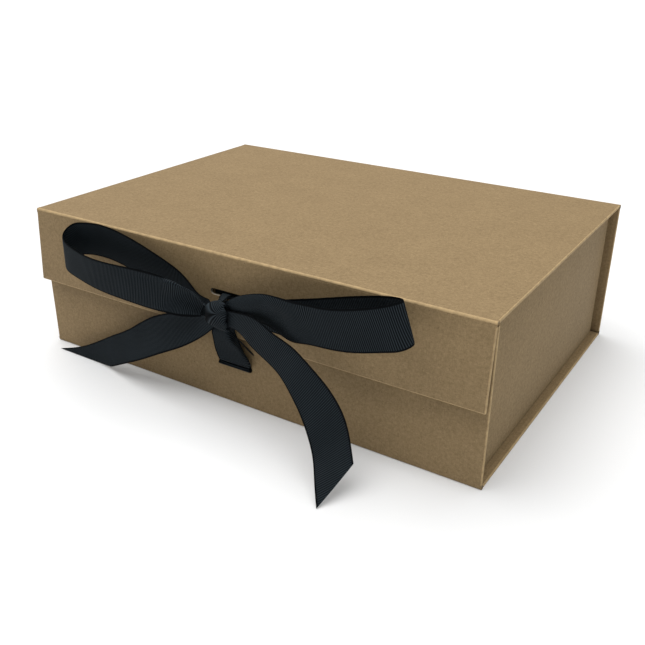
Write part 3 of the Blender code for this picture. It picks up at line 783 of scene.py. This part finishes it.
LOWER_LEG = (
    [(3, -124, 63), (-0.3, -127.2, 62), (7, -128, 61), (10.5, -124, 62.5), (11.5, -122, 63)],
    [(-2.8, -127.5, 59.5), (6.7, -129, 59.3), (6.9, -122, 56.6), (7.3, -121, 58.3)],
    [(-7.2, -124.8, 50.6), (8.4, -126.6, 52), (8.1, -119.2, 49.8)],
    [(-9.9, -120, 39.7), (11.2, -122, 44.5), (10, -116.8, 40.9)],
    [(-10.5, -115.9, 30.3), (13.8, -116.2, 32.1), (13.4, -114.6, 31)],
    [(-11.6, -114, 29.4), (0, -114, 29.4), (12.4, -114, 29.4)],
    [(-11.6, -112.4, 28.9), (0, -112.4, 28.9), (12.2, -112.4, 28.9)],
)
UPPER_LEG = (
    [(-5.5, -115.4, 74.9), (3.5, -115.4, 75), (3.7, -115.4, 75.7), (-4.5, -115.4, 75.6),
     (-4.7, -115.4, 76.3), (3, -115.4, 76.4)],
    [(-5.5, -118.2, 75.0), (3.5, -118.2, 75.2), (3.7, -118, 75.9), (-4.5, -118, 75.8),
     (-4.7, -117.9, 76.5), (3, -117.9, 76.6)],
    [(-3.2, -121.5, 75.6), (4, -121.5, 76.6), (4.2, -120.8, 77.1), (-2.5, -120.6, 76.3),
     (-2.7, -120, 76.9), (3.5, -120, 77.4)],
    [(-1, -126, 75.5), (4, -126, 76), (4.2, -125.3, 76.6), (-0.5, -125, 76.2), (-0.7, -124.4, 76.9),
     (4, -124.4, 77.1)],
)
KNOT = (
    [(-4.5, -126, 73), (3.5, -126, 76), (3.9, -125.1, 75.6), (-4, -124.9, 72.6), (-4.3, -124, 72.3),
     (4, -123.9, 75.2), (3, -123.2, 74)],
    [(-2.2, -130, 76.3), (6.9, -130.2, 79.5), (7.5, -129.0, 79), (-2, -128.8, 75.7), (-2.4, -127.8, 75.3),
     (7, -127.9, 78.3)],
    [(-4.2, -133, 74.9), (3.5, -134.8, 77.3), (10.6, -134.4, 79.1), (11.4, -132.9, 78.8),
     (1, -131.6, 75.6), (-1, -130.8, 75.2)],
    [(-7.5, -133.8, 70.4), (2, -136.8, 73.3), (12, -136.0, 76.1), (12.8, -134.6, 75.8), (5, -133.4, 73.4)],
    [(-6.0, -134.2, 67.1), (3, -137.1, 69.7), (12.5, -136.4, 72), (13.2, -135, 72), (4, -133.8, 69.8)],
    [(-0.6, -133.5, 63.2), (6, -135.6, 65.2), (12.2, -135.2, 66.6), (12.9, -133.9, 67), (1, -132.4, 64.2),
     (0.4, -131.6, 64.2)],
    [(3.6, -131, 60.5), (10.4, -131.3, 60.9), (10.9, -130.2, 61.4), (3.6, -129.9, 61),
     (3.2, -128.9, 61.3), (10.4, -128.8, 62), (8, -128, 62)],
    [(1.6, -128, 59.3), (8, -128, 59.5), (8.4, -127.0, 60), (1.6, -126.9, 59.8), (1.2, -125.9, 60.2),
     (8.2, -125.8, 60.6), (6, -125, 60.8)],
)


RUN = (
    ((-12.3, -112.6, 28), (12.3, -112.6, 28)),
    ((-12.4, -113.8, 27.8), (12.4, -113.8, 27.8)),
    ((-12.5, -114.4, 27), (12.5, -114.4, 27)),
    ((-12.5, -114.1, 26.2), (12.5, -114.1, 26.2)),
    ((-12.4, -113.1, 26.15), (12.4, -113.1, 26.15)),
    ((-12.4, -111.6, 26.4), (12.4, -111.6, 26.4)),
    ((-12.5, -110.5, 28), (12.5, -110.5, 28)),
    ((-12.5, -110.35, 31), (12.5, -110.35, 31)),
    ((-12.5, -110.4, 60), (12.5, -110.4, 60)),
    ((-12.5, -110.4, 96.6), (12.5, -110.4, 96.6)),
    ((-12.5, -110.9, 98.0), (12.5, -110.9, 98.0)),
    ((-12.5, -112.0, 98.35), (12.5, -112.0, 98.35)),
    ((-12.5, -113.1, 98.0), (12.5, -113.1, 98.0)),
    ((-12.5, -113.6, 96.6), (12.5, -113.6, 96.6)),
    ((-12.5, -113.6, 78.0), (12.5, -113.6, 78.0)),
    ((-12.5, -113.65, 73.5), (12.5, -113.65, 73.5)),
)


RIGHT_TAIL_SLANT = (
    (8, -0.35), (22, -0.34), (36, -0.22), (50, -0.15), (64, 0.08),
    (77, 0.2), (89, 0.27), (101, 0.35), (112, 0.4), (125, 0.36),
)
LEFT_LOOP_SLANT = (
    (160, -0.4), (180, -0.38), (191, -0.26), (201, -0.1),
    (209, -0.12), (217, -0.24), (231, -0.15), (242, -0.05),
)
RIGHT_LOOP_SLANT = ((12, 0.5), (26, 0.85), (33, 1.0), (41, 1.05), (55, 0.3), (66, 0.05))
LEFT_LOOP_GATHER = ((221, 0), (236, 0.9), (260, 1))
RIGHT_LOOP_GATHER = ((-10, 1), (6, 0.9), (20, 0))


def build_bow():
    ribbon("run", RUN, "tray", "ribbon_run")
    ribbon("loop_left", LEFT_LOOP, "flap", "ribbon_loop_left", start=-3.0,
           slant=LEFT_LOOP_SLANT, gather=LEFT_LOOP_GATHER)
    ribbon("loop_right", RIGHT_LOOP, "flap", "ribbon_loop_right", start=-9.0,
           slant=RIGHT_LOOP_SLANT, gather=RIGHT_LOOP_GATHER)
    ribbon("tail_left", LEFT_TAIL, "flap", "ribbon_tail_left", start=-6.0,
           trim=(0.45, 0.45))
    ribbon("tail_right", RIGHT_TAIL, "flap", "ribbon_tail_right", start=-7.0,
           trim=(16.6, 0.45), slant=RIGHT_TAIL_SLANT)
    ribbon("leg_lower", LOWER_LEG, "flap", "ribbon_lower_leg")
    ribbon("leg_upper", UPPER_LEG, "flap", "ribbon_upper_leg")
    ribbon("knot_band", KNOT, "flap", "ribbon_knot")


# ---------------------------------------------------------------- floor, light, camera
def build_stage():
    n = Nodes("floor")
    n.colour((0.68, 0.68, 0.68, 1))
    n.shader.inputs["Roughness"].default_value = 0.9
    n.shader.inputs["Specular IOR Level"].default_value = 0.1
    n.shader.inputs["Emission Color"].default_value = (1, 1, 1, 1)
    n.shader.inputs["Emission Strength"].default_value = 0.13
    bm = bmesh.new()
    bmesh.ops.create_circle(bm, cap_ends=True, segments=96, radius=FLOOR_RADIUS)
    mesh = bpy.data.meshes.new("floor")
    bm.to_mesh(mesh)
    bm.free()
    floor = link("floor", mesh, n.material)


def sun_light(name, way, strength, spread):
    """A wide, soft light that is even over the whole floor."""
    data = bpy.data.lights.new(name, "SUN")
    data.energy = strength
    data.angle = math.radians(spread)
    obj = bpy.data.objects.new(name, data)
    bpy.context.scene.collection.objects.link(obj)
    obj.rotation_mode = "QUATERNION"
    obj.rotation_quaternion = Vector(way).to_track_quat("-Z", "Y")
    return obj


def build_light():
    world = bpy.data.worlds.new("studio")
    world.use_nodes = True
    back = world.node_tree.nodes["Background"]
    back.inputs["Color"].default_value = (1, 1, 1, 1)
    back.inputs["Strength"].default_value = 0.14
    bpy.context.scene.world = world
    sun_light("overhead", (0.22, 0.03, -1.0), 4.12, 70)
    side = sun_light("fill", (-1.0, 0.25, -0.3), 0.75, 60)
    side.data.color = (0.86, 0.95, 1.0)
    view = bpy.context.scene.view_settings
    view.view_transform = "Standard"
    view.look = "None"


def build_camera():
    """A camera in front of the box, above it and to its right."""
    data = bpy.data.cameras.new("camera")
    data.lens = LENS
    data.sensor_width = SENSOR
    data.clip_end = CLIP_END
    camera = bpy.data.objects.new("camera", data)
    bpy.context.scene.collection.objects.link(camera)
    right = Vector(CAMERA_RIGHT)
    up = Vector(CAMERA_UP)
    back = right.cross(up).normalized()
    turn = Matrix((right, up, back)).transposed().to_4x4()
    camera.matrix_world = Matrix.Translation(CAMERA_AT) @ turn
    bpy.context.scene.camera = camera


paint_nodes()
build_case()
build_bow()
build_stage()
build_light()
build_camera()
